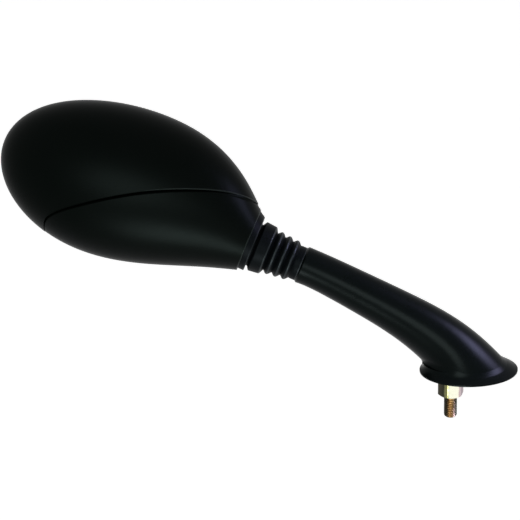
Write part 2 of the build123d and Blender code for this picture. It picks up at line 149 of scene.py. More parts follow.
def ramp(tree, value, stops):
    node = tree.nodes.new("ShaderNodeValToRGB")
    elements = node.color_ramp.elements
    for element, (position, colour) in zip(elements, (stops[0], stops[-1])):
        element.position = position
        element.color = (*colour, 1.0)
    for position, colour in stops[1:-1]:
        elements.new(position).color = (*colour, 1.0)
    tree.links.new(value, node.inputs["Fac"])
    return node.outputs["Color"]


def bump(tree, shader, height, strength, distance):
    raised = wire(tree, "ShaderNodeBump", {"Height": height, "Strength": strength, "Distance": distance})
    tree.links.new(raised["Normal"], shader.inputs["Normal"])


moulding = {"cloudDetail": 3.0, "cloudFrom": 0.3, "cloudTo": 0.7, "grainDetail": 2.0, "grainRoughness": 0.6}


def mouldedFinish(name, finish):
    material, tree, shader, place = startMaterial(name)
    cloud = noise(tree, place, finish["cloudScale"], moulding["cloudDetail"])
    grain = noise(tree, place, finish["grainScale"], moulding["grainDetail"], moulding["grainRoughness"])
    stops = [(moulding["cloudFrom"], finish["dark"]), (moulding["cloudTo"], finish["light"])]
    tree.links.new(ramp(tree, cloud, stops), shader.inputs["Base Color"])
    tree.links.new(spread(tree, cloud, *finish["roughness"]), shader.inputs["Roughness"])
    shader.inputs["Specular IOR Level"].default_value = finish["specular"]
    shader.inputs["Specular Tint"].default_value = (*finish["tint"], 1.0)
    bump(tree, shader, grain, finish["bumpStrength"], finish["bumpDepth"])
    return material


shellFinish = {
    "dark": (0.0004, 0.0007, 0.0005), "light": (0.0007, 0.0010, 0.0008),
    "roughness": (0.33, 0.39), "specular": 0.030, "tint": (0.74, 1.0, 0.93),
    "cloudScale": 30.0, "grainScale": 2600.0, "bumpStrength": 0.12, "bumpDepth": 0.0001,
}
edgeFinish = dict(shellFinish, specular=0.15)
armFinish = {
    "dark": (0.0005, 0.0010, 0.0010), "light": (0.0009, 0.0015, 0.0015),
    "roughness": (0.25, 0.31), "specular": 0.045, "tint": (0.80, 1.0, 0.97),
    "cloudScale": 45.0, "grainScale": 1500.0, "bumpStrength": 0.05, "bumpDepth": 0.0001,
}
rubberFinish = {
    "dark": (0.0008, 0.0012, 0.0014), "light": (0.0016, 0.0021, 0.0025),
    "roughness": (0.38, 0.50), "specular": 0.034, "tint": (0.76, 0.94, 1.0),
    "cloudScale": 120.0, "grainScale": 3000.0, "bumpStrength": 0.15, "bumpDepth": 0.0001,
}
wornFinish = dict(rubberFinish, specular=0.2)  # edges polished by handling
innerFinish = {
    "dark": (0.012, 0.012, 0.012), "light": (0.02, 0.02, 0.02),
    "roughness": (0.5, 0.65), "specular": 0.4, "tint": (1.0, 1.0, 1.0),
    "cloudScale": 60.0, "grainScale": 1800.0, "bumpStrength": 0.1, "bumpDepth": 0.0001,
}
foamFinish = {
    "dark": (0.05, 0.05, 0.052), "light": (0.09, 0.09, 0.092),
    "roughness": (0.85, 0.95), "specular": 0.2, "tint": (1.0, 1.0, 1.0),
    "cloudScale": 400.0, "grainScale": 2200.0, "bumpStrength": 0.6, "bumpDepth": 0.0003,
}
nylonFinish = {
    "dark": (0.68, 0.66, 0.6), "light": (0.76, 0.74, 0.69),
    "roughness": (0.32, 0.42), "specular": 0.5, "tint": (1.0, 1.0, 1.0),
    "cloudScale": 200.0, "grainScale": 2500.0, "bumpStrength": 0.05, "bumpDepth": 0.0001,
}


def paintedLightRoundTheStud(tree, place, patches, waver):
    # share of a turn round the upright axis, from -X over -Y to +X and back, with an uneven edge; it sets
    # where the painted reflections and painted shade fall round the stud
    turn = wire(tree, "ShaderNodeTexGradient", {"Vector": place}, gradient_type="RADIAL")["Fac"]
    return calc(tree, "MULTIPLY_ADD", patches, waver, turn)


def paintedRootShade(tree, place, colour, finish):
    # painted shade in the roots of the thread, by the distance from the stud's axis
    flat = wire(tree, "ShaderNodeVectorMath", {0: place, 1: (1.0, 1.0, 0.0)}, operation="MULTIPLY")["Vector"]
    reach = wire(tree, "ShaderNodeVectorMath", {0: flat}, operation="LENGTH")["Value"]
    share = wire(tree, "ShaderNodeMapRange", {
        "Value": reach, "From Min": finish["rootRadius"], "From Max": finish["crestRadius"],
        "To Min": finish["rootShade"]})["Result"]
    return wire(tree, "ShaderNodeVectorMath", {0: colour, "Scale": share}, operation="SCALE")["Vector"]


plating = {"patchDetail": 3.0, "lineDetail": 2.0, "bumpDepth": 0.00005}


def metalFinish(name, finish):
    material, tree, shader, place = startMaterial(name)
    patches = noise(tree, place, finish["patchScale"], plating["patchDetail"])
    # painted reflections and painted shade, set by the side of the stud that a point faces
    if "waver" in finish:
        patches = paintedLightRoundTheStud(tree, place, patches, finish["waver"])
    brushed = wire(tree, "ShaderNodeMapping", {"Vector": place, "Scale": finish["brushing"]})["Vector"]
    lines = noise(tree, brushed, finish["lineScale"], plating["lineDetail"])
    colour = ramp(tree, patches, finish["colours"])
    # painted shade in the thread's roots
    if "rootRadius" in finish:
        colour = paintedRootShade(tree, place, colour, finish)
    tree.links.new(colour, shader.inputs["Base Color"])
    tree.links.new(spread(tree, lines, *finish["roughness"]), shader.inputs["Roughness"])
    shader.inputs["Metallic"].default_value = 1.0
    bump(tree, shader, lines, finish["bumpStrength"], plating["bumpDepth"])
    return material


zincPaintedReflectionFinish = {  # yellow passivated zinc, with painted reflections round the stud: dark olive on the left, pale yellow in front and behind, mauve on the right
    "colours": [
        (0.03, (0.05, 0.045, 0.03)), (0.15, (0.02, 0.02, 0.01)), (0.17, (0.13, 0.13, 0.06)),
        (0.21, (0.20, 0.20, 0.07)), (0.23, (0.84, 0.85, 0.67)), (0.35, (0.87, 0.86, 0.71)),
        (0.37, (0.50, 0.36, 0.38)), (0.385, (0.66, 0.55, 0.57)), (0.41, (0.20, 0.11, 0.15)),
        (0.53, (0.24, 0.15, 0.17)), (0.55, (0.40, 0.29, 0.28)), (0.70, (0.52, 0.41, 0.33)),
        (0.715, (0.88, 0.83, 0.61)), (0.87, (0.80, 0.74, 0.50)), (0.885, (0.38, 0.34, 0.18)),
        (1.0, (0.10, 0.10, 0.07)),
    ],
    "waver": 0.03, "patchScale": 260.0, "brushing": (1.0, 1.0, 6.0), "lineScale": 900.0,
    "roughness": (0.2, 0.34), "bumpStrength": 0.1,
}
# yellow zinc on the thread, with painted shade round the stud: gold in front and behind, dark on the left and
# right
threadPaintedShadeFinish = {
    "colours": [
        (0.05, (0.03, 0.03, 0.02)), (0.17, (0.06, 0.045, 0.025)), (0.22, (0.42, 0.24, 0.09)),
        (0.31, (0.55, 0.36, 0.17)), (0.36, (0.50, 0.41, 0.27)), (0.40, (0.08, 0.08, 0.05)),
        (0.52, (0.03, 0.035, 0.03)), (0.70, (0.45, 0.30, 0.13)), (0.88, (0.20, 0.14, 0.06)),
        (1.0, (0.02, 0.02, 0.015)),
    ],
    "rootRadius": 0.0034, "crestRadius": 0.0039, "rootShade": 0.33,
    "waver": 0.05, "patchScale": 420.0, "brushing": (1.0, 1.0, 4.0), "lineScale": 1200.0,
    "roughness": (0.28, 0.42), "bumpStrength": 0.1,
}
steelFinish = {
    "colours": [(0.35, (0.50, 0.50, 0.50)), (0.65, (0.62, 0.62, 0.63))],
    "patchScale": 200.0, "brushing": (1.0, 1.0, 8.0), "lineScale": 800.0,
    "roughness": (0.25, 0.4), "bumpStrength": 0.1,
}
castFinish = {
    "colours": [(0.35, (0.42, 0.42, 0.43)), (0.65, (0.52, 0.52, 0.53))],
    "patchScale": 120.0, "brushing": (1.0, 1.0, 1.0), "lineScale": 1400.0,
    "roughness": (0.5, 0.65), "bumpStrength": 0.5,
}
silverFinish = {
    "colours": [(0.3, (0.67, 0.71, 0.75)), (0.7, (0.73, 0.77, 0.81))],
    "patchScale": 12.0, "brushing": (1.0, 1.0, 1.0), "lineScale": 60.0,
    "roughness": (0.012, 0.03), "bumpStrength": 0.0,
}

shellBlack = mouldedFinish("grainedShellBlack", shellFinish)
edgeBlack = mouldedFinish("roundedEdgeBlack", edgeFinish)
armBlack = mouldedFinish("satinArmBlack", armFinish)
bootRubber = mouldedFinish("bootRubber", rubberFinish)
wornRubber = mouldedFinish("wornRubber", wornFinish)
carrierBlack = mouldedFinish("carrierBlack", innerFinish)
greyFoam = mouldedFinish("greyFoam", foamFinish)
whiteNylon = mouldedFinish("whiteNylon", nylonFinish)
# zinc with painted reflections on the hexagon, and zinc with painted shade on the thread
yellowZincPaintedReflections = metalFinish("yellowZincPaintedReflections", zincPaintedReflectionFinish)
threadZincPaintedShade = metalFinish("threadZincPaintedShade", threadPaintedShadeFinish)
plainSteel = metalFinish("plainSteel", steelFinish)
castCore = metalFinish("castCore", castFinish)
mirrorSilver = metalFinish("mirrorSilver", silverFinish)
print("materials ready")

nodeMaterials = {
    "head_shell": shellBlack, "arm_cover": armBlack, "mirror_glass": mirrorSilver, "glass_gasket": bootRubber,
    "boot": bootRubber, "glass_pad": greyFoam, "glass_carrier": carrierBlack, "pressure_cup": carrierBlack,
    "front_ball_seat": whiteNylon, "rear_ball_seat": whiteNylon, "arm_core": castCore,
    "mounting_stud": yellowZincPaintedReflections, "ball_pin": plainSteel, "carrier_screws": plainSteel,
    "cup_spring": plainSteel, "spring_cap": plainSteel, "cap_screws": plainSteel, "cap_washers": plainSteel,
    "lock_washer": plainSteel,
}
for node, material in nodeMaterials.items():
    frame["nodes"][node].material_slots[0].material = material
print("frame pieces painted")


# Node trees

def nodeGroup(name, inputs, takesMesh=False):
    tree = bpy.data.node_groups.new(name, "GeometryNodeTree")
    tree.interface.new_socket("Geometry", in_out="OUTPUT", socket_type="NodeSocketGeometry")
    if takesMesh:
        tree.interface.new_socket("Geometry", in_out="INPUT", socket_type="NodeSocketGeometry")
    sockets = {}
    for label, kind in inputs.items():
        socket = tree.interface.new_socket(label, in_out="INPUT", socket_type="NodeSocket" + kind)
        sockets[label] = socket.identifier
    start = tree.nodes.new("NodeGroupInput")
    end = tree.nodes.new("NodeGroupOutput")
    return tree, sockets, start.outputs, end.inputs["Geometry"]


def evaluated(tree, sockets, values, mesh=None):
    carrier = addPiece(tree.name + "Carrier", mesh or bpy.data.meshes.new(tree.name))
    modifier = carrier.modifiers.new(tree.name, "NODES")
    modifier.node_group = tree
    for label, value in values.items():
        modifier[sockets[label]] = value
    bpy.context.view_layer.update()
    shaped = carrier.evaluated_get(bpy.context.evaluated_depsgraph_get())
    result = bpy.data.meshes.new_from_object(shaped)
    carrier.modifiers.remove(modifier)
    bpy.data.objects.remove(carrier)
    return result


def unitGrid(tree, segments, rows):
    # a flat grid, with the share of a turn and the share of the length at each of its points
    columns = calc(tree, "ADD", segments, 1.0)
    grid = wire(tree, "GeometryNodeMeshGrid", {
        "Size X": 1.0, "Size Y": 1.0, "Vertices X": columns, "Vertices Y": rows})["Mesh"]
    place = wire(tree, "GeometryNodeInputPosition", {})["Position"]
    spot = wire(tree, "ShaderNodeSeparateXYZ", {"Vector": place})
    return grid, calc(tree, "ADD", spot["X"], 0.5), calc(tree, "ADD", spot["Y"], 0.5)


def rolledUp(tree, grid, turn, radius, height):
    # the grid as a sleeve round Z, closed along its length
    angle = calc(tree, "MULTIPLY", turn, 2 * pi)
    moved = wire(tree, "ShaderNodeCombineXYZ", {
        "X": calc(tree, "MULTIPLY", radius, calc(tree, "COSINE", angle)),
        "Y": calc(tree, "MULTIPLY", radius, calc(tree, "SINE", angle)), "Z": height})["Vector"]
    shaped = wire(tree, "GeometryNodeSetPosition", {"Geometry": grid, "Position": moved})["Geometry"]
    closed = wire(tree, "GeometryNodeMergeByDistance", {"Geometry": shaped, "Distance": weldDistance})
    return closed["Geometry"]


def endTree(tree, geometry, material, result):
    real = wire(tree, "GeometryNodeRealizeInstances", {"Geometry": geometry})["Geometry"]
    painted = wire(tree, "GeometryNodeSetMaterial", {"Geometry": real, "Material": material})["Geometry"]
    tree.links.new(painted, result)


# Bellows boot: a lathed sleeve, with its ribs set out along the neck by nodes

boot = {
    "segments": 128, "lipSteps": 5, "edgeRound": 0.0006, "edgeShare": 0.4, "crease": 50.0,
    "lipStart": -0.00405, "lipRadius": 0.0183, "lipRise": 0.00175,
    "lipEnd": -0.0002, "lipEndRadius": 0.01715, "lipEndRise": 0.00045,
    "grooveRadius": 0.0132, "groovePlace": 0.0006,
    "bandStart": 0.0021, "bandEnd": 0.0089, "bandRadius": 0.0157, "bandEndRadius": 0.0150,
    "ribCount": 3, "ribStart": 0.0106, "ribPitch": 0.00523, "firstGroove": 0.0118, "lastGroove": 0.0103,
    "firstHeight": 0.0020, "lastHeight": 0.00195, "ribSteps": 14,
    "crestPower": 1.25,  # over 1 for narrow round crests and wide grooves
    "ringRadius": 0.0105, "ringStart": 0.0273, "ringEnd": 0.03028,
    "spigotBore": 0.0116, "spigotEnd": 0.0087, "ribBore": 0.0102, "noseBore": 0.00905,
    "wallSpacing": 0.0005, "wearWidth": 0.0006, "wearOffset": 0.0003,
}
grooves = [boot["ribStart"] + boot["ribPitch"] * i for i in range(boot["ribCount"] + 1)]
bore = [
    (boot["lipStart"], boot["spigotBore"]), (boot["spigotEnd"], boot["spigotBore"]),
    (grooves[0], boot["ribBore"]), (grooves[-1], boot["noseBore"]), (boot["ringEnd"], boot["noseBore"]),
]


def ribbedSleeveTree():
    tree, sockets, given, result = nodeGroup("ribbedSleeve", {
        "Rib Count": "Int", "Rib Start": "Float", "Rib Pitch": "Float", "Crest Power": "Float",
        "First Groove": "Float", "Last Groove": "Float", "First Height": "Float", "Last Height": "Float",
        "Steps": "Int", "Segments": "Int", "Rubber": "Material",
    })
    rows = calc(tree, "MULTIPLY_ADD", given["Rib Count"], given["Steps"], 1.0)
    grid, turn, share = unitGrid(tree, given["Segments"], rows)  # share 0 at the first groove, 1 at the last
    ribs = calc(tree, "MULTIPLY", share, given["Rib Count"])
    wave = calc(tree, "ABSOLUTE", calc(tree, "SINE", calc(tree, "MULTIPLY", ribs, pi)))
    crown = calc(tree, "POWER", wave, given["Crest Power"])
    floor = spread(tree, share, given["First Groove"], given["Last Groove"])
    height = spread(tree, share, given["First Height"], given["Last Height"])
    radius = calc(tree, "MULTIPLY_ADD", crown, height, floor)
    along = calc(tree, "MULTIPLY_ADD", ribs, given["Rib Pitch"], given["Rib Start"])
    endTree(tree, rolledUp(tree, grid, turn, radius, along), given["Rubber"], result)
    return tree, sockets


def lathe(work, profile, segments):
    # rings of one radius at a place along the neck, each raised off its axis if need be
    angles = [2 * pi * i / segments for i in range(segments)]
    rings = []
    for radius, along, rise in profile:
        rings.append([work.verts.new((rise + radius * cos(a), radius * sin(a), along)) for a in angles])
    joinRings(work, rings)


def rounded(points, reach, mostShare, steps):
    # each corner as a curve that starts and ends within a share of its sides
    path = [points[0]]
    for before, corner, after in zip(points, points[1:], points[2:]):
        corner = Vector(corner)
        back, ahead = Vector(before) - corner, Vector(after) - corner
        start = corner + back.normalized() * min(reach, back.length * mostShare)
        end = corner + ahead.normalized() * min(reach, ahead.length * mostShare)
        for i in range(steps + 1):
            t = i / steps
            path.append(tuple(start * (1 - t) ** 2 + corner * 2 * t * (1 - t) + end * t ** 2))
    path.append(points[-1])
    return path


def dense(points, spacing):
    path = [points[0]]
    for before, after in zip(points, points[1:]):
        before, after = Vector(before), Vector(after)
        parts = max(1, round((after - before).length / spacing))
        path += [tuple(before.lerp(after, i / parts)) for i in range(1, parts + 1)]
    return path


def grooveAt(along):
    share = (along - grooves[0]) / (grooves[-1] - grooves[0])
    return boot["firstGroove"] + (boot["lastGroove"] - boot["firstGroove"]) * share


def boreAt(along):
    for (low, first), (high, last) in zip(bore, bore[1:]):
        if along <= high:
            return first + (last - first) * (along - low) / (high - low)
    return bore[-1][1]


def lightEdges():
    # places and radii of the edges and crests that face the neck
    found = [(boot["lipEnd"], boot["lipEndRadius"]), (boot["bandEnd"], boot["bandEndRadius"])]
    for low, high in zip(grooves, grooves[1:]):
        crest = (low + high) / 2
        found.append((crest + boot["wearOffset"], grooveAt(crest) + boot["lastHeight"]))
    return found + [(boot["ringEnd"], boot["ringRadius"])]


def wearEdges(work):
    for face in work.faces:
        middle = face.calc_center_median()
        rise = boot["lipEndRise"] if middle.z < boot["groovePlace"] else 0.0
        radius = Vector((middle.x - rise, middle.y)).length
        near = min((middle.z - along) ** 2 + (radius - edge) ** 2 for along, edge in lightEdges())
        face.material_index = 1 if near < boot["wearWidth"] ** 2 else 0


def bootPiece(name, low, high, front, back):
    # ribs between two places on the neck, with what the sleeve has before and after them
    work = bmesh.new()
    work.from_mesh(ribs)
    others = [vert for vert in work.verts if not low - nearby < vert.co.z < high + nearby]
    bmesh.ops.delete(work, geom=others, context="VERTS")
    outer = front + [(grooveAt(low), low, 0.0)]
    inner = [(grooveAt(high), high, 0.0)] + back
    for profile in (outer, inner):
        if len(profile) > 1:
            path = rounded(profile, boot["edgeRound"], boot["edgeShare"], boot["lipSteps"])
            lathe(work, dense(path, boot["wallSpacing"]), boot["segments"])
    first, last = outer[0], inner[-1]
    bends = [along for along, radius in reversed(bore) if first[1] < along < last[1]]
    wall = [(boreAt(along), along, 0.0) for along in [last[1]] + bends + [first[1]]]
    lathe(work, [last] + wall + [first], boot["segments"])
    bmesh.ops.remove_doubles(work, verts=work.verts, dist=weldDistance * 2)
    bmesh.ops.recalc_face_normals(work, faces=work.faces)
    wearEdges(work)
    mesh = bpy.data.meshes.new(name)
    mesh.materials.append(bootRubber)
    mesh.materials.append(wornRubber)
    work.to_mesh(mesh)
    work.free()
    mesh.transform(neckFrame)
    smoothMesh(mesh, boot["crease"])
    piece = addPiece(name, mesh)
    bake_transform(piece)
    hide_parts("boot")


sleeveTree, sleeveSockets = ribbedSleeveTree()
ribs = evaluated(sleeveTree, sleeveSockets, {
    "Rib Count": boot["ribCount"], "Rib Start": boot["ribStart"], "Rib Pitch": boot["ribPitch"],
    "Crest Power": boot["crestPower"], "First Groove": boot["firstGroove"], "Last Groove": boot["lastGroove"],
    "First Height": boot["firstHeight"], "Last Height": boot["lastHeight"],
    "Steps": boot["ribSteps"], "Segments": boot["segments"], "Rubber": bootRubber,
})
lipAndBand = [
    (boot["lipRadius"], boot["lipStart"], boot["lipRise"]),
    (boot["lipEndRadius"], boot["lipEnd"], boot["lipEndRise"]),
    (boot["grooveRadius"], boot["lipEnd"], 0.0), (boot["grooveRadius"], boot["groovePlace"], 0.0),
    (boot["bandRadius"], boot["bandStart"], 0.0), (boot["bandEndRadius"], boot["bandEnd"], 0.0),
]
endRing = [(boot["ringRadius"], boot["ringStart"], 0.0), (boot["ringRadius"], boot["ringEnd"], 0.0)]
bootPiece(
    "bootCollar", grooves[0], grooves[1], lipAndBand, [])
bootPiece("bootMiddle", grooves[1], grooves[2], [], [])
bootPiece("bootTail", grooves[2], grooves[3], [], endRing)
print("boot made")

# Stud: a hexagon shoulder with a cut thread below it

stud = {
    "radius": 0.004, "length": 0.0150, "pitch": 0.00125, "threadDepth": 0.00068, "endChamfer": 0.001,
    "runOut": 0.0011, "segments": 64, "stepsPerPitch": 12, "crease": 25.0,
    "flats": 0.014, "hexTurn": 10.0, "hexHeight": 0.0196, "hexChamfer": 0.0007, "hexChamferSlope": 30.0,
    "cornerTrim": 0.00018, "hexColumns": 180, "chamferSteps": 6, "rootTop": 0.0336,
}


def threadTree():
    tree, sockets, given, result = nodeGroup("cutThread", {
        "Radius": "Float", "Length": "Float", "Pitch": "Float", "Depth": "Float", "End Chamfer": "Float",
        "Run Out": "Float", "Segments": "Int", "Rows": "Int", "Zinc": "Material",
    })
    grid, turn, share = unitGrid(tree, given["Segments"], given["Rows"])
    along = calc(tree, "MULTIPLY", share, given["Length"])  # up from the stud's end
    lead = calc(tree, "ADD", calc(tree, "DIVIDE", along, given["Pitch"]), turn)
    cut = calc(tree, "MULTIPLY", calc(tree, "PINGPONG", lead, 0.5), 2.0)  # 0 on a crest, 1 in a root
    left = calc(tree, "SUBTRACT", given["Length"], along)
    fade = wire(tree, "ShaderNodeMapRange", {"Value": left, "From Max": given["Run Out"]})["Result"]
    depth = calc(tree, "MULTIPLY", calc(tree, "MULTIPLY", cut, given["Depth"]), fade)
    cone = calc(tree, "ADD", calc(tree, "SUBTRACT", given["Radius"], given["End Chamfer"]), along)
    radius = calc(tree, "MINIMUM", calc(tree, "SUBTRACT", given["Radius"], depth), cone)
    height = calc(tree, "SUBTRACT", along, given["Length"])
    endTree(tree, rolledUp(tree, grid, turn, radius, height), given["Zinc"], result)
    return tree, sockets


def hexRing(work, height, reach):
    # hexagon outline at one height, turned down to a radius where it reaches further
    verts = []
    for i in range(stud["hexColumns"]):
        angle = 2 * pi * i / stud["hexColumns"]
        flat = stud["flats"] / 2 / cos(angle % (pi / 3) - pi / 6)
        radius = min(flat, reach)
        angle += radians(stud["hexTurn"])
        verts.append(work.verts.new((radius * cos(angle), radius * sin(angle), height)))
    return verts


def hexShoulder(work):
    corner = stud["flats"] / sqrt(3) - stud["cornerTrim"]
    chamfer, top = stud["hexChamfer"], stud["hexHeight"]
    slope = tan(radians(stud["hexChamferSlope"]))
    rises = [chamfer * i / stud["chamferSteps"] for i in range(stud["chamferSteps"] + 1)]
    rings = [hexRing(work, 0.0, stud["radius"])]
    rings += [hexRing(work, rise, corner - (chamfer - rise) / slope) for rise in rises]
    rings += [hexRing(work, top - rise, corner - (chamfer - rise) / slope) for rise in reversed(rises)]
    rings += [hexRing(work, height, stud["radius"]) for height in (top, stud["rootTop"])]
    joinRings(work, rings)
    work.faces.new(rings[-1])


def buildStud():
    tree, sockets = threadTree()
    rows = int(stud["length"] / stud["pitch"] * stud["stepsPerPitch"])
    thread = evaluated(tree, sockets, {
        "Radius": stud["radius"], "Length": stud["length"], "Pitch": stud["pitch"],
        "Depth": stud["threadDepth"], "End Chamfer": stud["endChamfer"], "Run Out": stud["runOut"],
        "Segments": stud["segments"], "Rows": rows, "Zinc": threadZincPaintedShade,
    })
    work = bmesh.new()
    work.from_mesh(thread)
    lowest = -stud["length"] + nearby
    rim = [edge for edge in work.edges if edge.is_boundary and edge.verts[0].co.z < lowest]
    bmesh.ops.holes_fill(work, edges=rim)
    for face in work.faces:
        face.material_index = 0
    before = set(work.faces)
    hexShoulder(work)
    for face in set(work.faces) - before:
        face.material_index = 1
    bmesh.ops.recalc_face_normals(work, faces=work.faces)
    mesh = bpy.data.meshes.new("threadedStud")
    mesh.materials.append(threadZincPaintedShade)
    mesh.materials.append(yellowZincPaintedReflections)
    work.to_mesh(mesh)
    work.free()
    smoothMesh(mesh, stud["crease"])
    piece = addPiece("threadedStud", mesh)
    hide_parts("mounting_stud")
    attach(piece, "arm")


buildStud()
print("stud made")

# Head: beads on the edges that catch the light, and a hollow liner in the seam under the panel

headEdges = {
    "sharpFrom": 35.0, "mouthPlace": -0.0041, "mouthLevel": 0.0001, "mouthRadius": 0.017,
    "panelLimit": -0.0055, "seamSlope": 0.5, "leastFall": 0.1, "steepest": 0.2, "lookFrom": 0.0002,
    "beadRadius": 0.00045, "beadCover": 0.9, "beadSides": 10, "beadSpacing": 0.001, "beadCrease": 60.0,
    "panelStart": 0.35, "growFrom": 0.3, "growTo": 0.75, "taperFrom": 0.97, "panelEnd": 0.1,
}
seam = {
    "shiftAlong": 0.0009, "shiftAcross": -0.0017, "steps": 6, "power": 1.7, "spacing": 0.0012,
    "floorShare": 0.4, "flankBeyond": 0.0002, "sink": 0.00004, "castFrom": 0.01, "steepest": 0.35,
    "fadeFrom": -0.045, "fadeTo": -0.012, "leftOver": 0.2, "endRows": 7, "endDrop": 0.9, "crease": 50.0,
}


def sharpEdges(work, wanted):
    limit = radians(headEdges["sharpFrom"])
    found = []
    for edge in work.edges:
        if len(edge.link_faces) == 2 and edge.is_convex and edge.calc_face_angle() > limit and wanted(edge):
            found.append(edge)
    return found


def longestChain(edges):
    links = {}
    for edge in edges:
        for vert in edge.verts:
            links.setdefault(vert, []).append(edge)
    unused = set(edges)
    best = []
    for start in [vert for vert in links if len(links[vert]) == 1] or [edges[0].verts[0]]:
        chain, here = [], start
        onward = [edge for edge in links[here] if edge in unused]
        while onward:
            chain.append((here, onward[0]))
            unused.discard(onward[0])
            here = onward[0].other_vert(here)
            onward = [edge for edge in links[here] if edge in unused]
        if len(chain) > len(best):
            best = chain
    return best


def cornerNormals(edge):
    # normals of the face that looks to the front, and of the wall beside it
    faces = sorted(edge.link_faces, key=lambda face: face.normal.dot(faceFront))
    return faces[1].normal.copy(), faces[0].normal.copy()


def edgeBeadTree():
    tree, sockets, given, result = nodeGroup("edgeBead", {
        "Radius": "Float", "Sides": "Int", "Spacing": "Float", "Start Share": "Float", "Grow From": "Float",
        "Grow To": "Float", "Taper From": "Float", "End Share": "Float", "Finish": "Material",
    }, takesMesh=True)
    path = wire(tree, "GeometryNodeMeshToCurve", {"Mesh": given["Geometry"]})["Curve"]
    even = wire(tree, "GeometryNodeResampleCurve", {"Curve": path, "Length": given["Spacing"]}, mode="LENGTH")
    ring = wire(tree, "GeometryNodeCurvePrimitiveCircle", {
        "Resolution": given["Sides"], "Radius": given["Radius"]})
    gone = wire(tree, "GeometryNodeSplineParameter", {})["Factor"]
    start = wire(tree, "ShaderNodeMapRange", {
        "Value": gone, "From Min": given["Grow From"], "From Max": given["Grow To"],
        "To Min": given["Start Share"], "To Max": 1.0})["Result"]
    end = wire(tree, "ShaderNodeMapRange", {
        "Value": gone, "From Min": given["Taper From"], "From Max": 1.0,
        "To Min": 1.0, "To Max": given["End Share"]})["Result"]
    growth = calc(tree, "MULTIPLY", start, end)
    grown = wire(tree, "GeometryNodeSetCurveRadius", {"Curve": even["Curve"], "Radius": growth})
    tube = wire(tree, "GeometryNodeCurveToMesh", {
        "Curve": grown["Curve"], "Profile Curve": ring["Curve"], "Scale": growth, "Fill Caps": True})
    endTree(tree, tube["Mesh"], given["Finish"], result)
    return tree, sockets


def closedPiece(name, work, material, body, crease):
    bmesh.ops.recalc_face_normals(work, faces=work.faces)
    mesh = bpy.data.meshes.new(name)
    mesh.materials.append(material)
    work.to_mesh(mesh)
    work.free()
    smoothMesh(mesh, crease)
    piece = addPiece(name, mesh)
    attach(piece, body)


def edgeBead(name, chain, closed, startShare, endShare):
    reach = headEdges["beadRadius"] * headEdges["beadCover"]
    points = []
    for vert, edge in chain:
        ahead, wall = cornerNormals(edge)
        points.append(vert.co - (ahead + wall).normalized() * reach)
    links = [(i, i + 1) for i in range(len(points) - 1)]
    if closed:
        links.append((len(points) - 1, 0))
    path = bpy.data.meshes.new(name + "Path")
    path.from_pydata(points, links, [])
    tree, sockets = edgeBeadTree()
    tube = evaluated(tree, sockets, {
        "Radius": headEdges["beadRadius"], "Sides": headEdges["beadSides"],
        "Spacing": headEdges["beadSpacing"], "Start Share": startShare,
        "Grow From": headEdges["growFrom"], "Grow To": headEdges["growTo"],
        "Taper From": headEdges["taperFrom"], "End Share": endShare, "Finish": edgeBlack,
    }, path)
    work = bmesh.new()
    work.from_mesh(tube)
    closedPiece(name, work, edgeBlack, "head", headEdges["beadCrease"])


def evenStations(chain, spacing):
    # place, outward normal and wall normal at even steps along a chain of edges
    stations, travelled, due = [], 0.0, 0.0
    for (vert, edge), (after, afterEdge) in zip(chain, chain[1:]):
        length = (after.co - vert.co).length
        here, there = cornerNormals(edge), cornerNormals(afterEdge)
        while due <= travelled + length:
            t = (due - travelled) / length
            stations.append((vert.co.lerp(after.co, t), here[0].lerp(there[0], t), here[1].lerp(there[1], t)))
            due += spacing
        travelled += length
    return stations


def seamLevels(surface, place, side, width):
    # how high the seam's floor and the flank beyond it stand, from the panel's edge
    levels = []
    for offset in (width * seam["floorShare"], width + seam["flankBeyond"]):
        start = place + side * offset + faceFront * seam["castFrom"]
        hit = surface.ray_cast(start, -faceFront)[0]
        levels.append((hit - place).dot(faceFront))
    return levels


def seamLiner(chain, surface):
    shift = neckDir * seam["shiftAlong"] + neckUp * seam["shiftAcross"]
    work = bmesh.new()
    rows = []
    stations = evenStations(chain, seam["spacing"])
    stations = [station for station in stations if station[1].normalized().dot(faceFront) >= seam["steepest"]]
    for number, (place, ahead, wall) in enumerate(stations):
        side = (wall - faceFront * wall.dot(faceFront)).normalized()
        width = shift.dot(side)
        floor, flank = seamLevels(surface, place, side, width)
        faded = ((place - collar).dot(neckDir) - seam["fadeFrom"]) / (seam["fadeTo"] - seam["fadeFrom"])
        depth = (flank - floor) * (1.0 - (1.0 - seam["leftOver"]) * min(max(faded, 0.0), 1.0))
        ended = max(0.0, 1.0 - (len(stations) - 1 - number) / seam["endRows"])
        filled = 1.0 - seam["endDrop"] * ended  # the filling runs out where the seam turns away
        row = []
        for i in range(seam["steps"] + 1):
            t = i / seam["steps"]
            level = floor + (flank - depth * (1 - t) ** seam["power"] - floor) * filled - seam["sink"]
            row.append(work.verts.new(place + side * width * t + faceFront * level))
        row.append(work.verts.new(place + side * width + faceFront * (floor - seam["sink"])))
        rows.append(row)
    joinRings(work, rows)
    work.faces.new(rows[0])
    work.faces.new(rows[-1])
    closedPiece("seamLiner", work, shellBlack, "head", seam["crease"])


